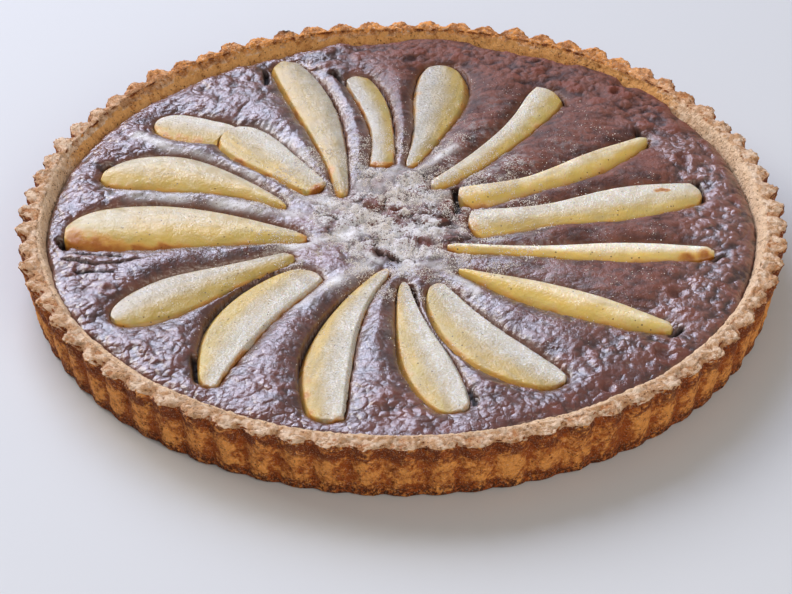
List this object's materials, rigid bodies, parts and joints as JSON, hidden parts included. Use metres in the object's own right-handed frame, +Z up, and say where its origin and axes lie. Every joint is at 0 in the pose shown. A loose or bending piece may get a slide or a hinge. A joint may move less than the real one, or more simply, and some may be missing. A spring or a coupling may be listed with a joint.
{
  "type": "chocolate pear tart",
  "caption": "Round flat tart: a fluted shortcrust case holds a puffed baked chocolate filling, topped with pear slices fanned out from the middle and dusted with icing sugar.",
  "frame": {"origin": "centre of the flat underside of the case, where the tart rests", "axes": "+Z up through the filling; -Y is the edge nearest a person serving it, +X to that person's right"},
  "size_m": [0.3, 0.3, 0.0254],
  "materials": {
    "crust": "matte",
    "filling": "satin",
    "pear": "satin"
  },
  "bodies": {
    "root": {"crust": "crust", "filling": "filling", "pear_slice_01": "pear", "pear_slice_02": "pear", "pear_slice_03": "pear", "pear_slice_04": "pear", "pear_slice_05": "pear", "pear_slice_06": "pear", "pear_slice_07": "pear", "pear_slice_08": "pear", "pear_slice_09": "pear", "pear_slice_10": "pear", "pear_slice_11": "pear", "pear_slice_12": "pear", "pear_slice_13": "pear", "pear_slice_14": "pear", "pear_slice_15": "pear", "pear_slice_16": "pear", "pear_slice_17": "pear"}
  },
  "joints": []
}
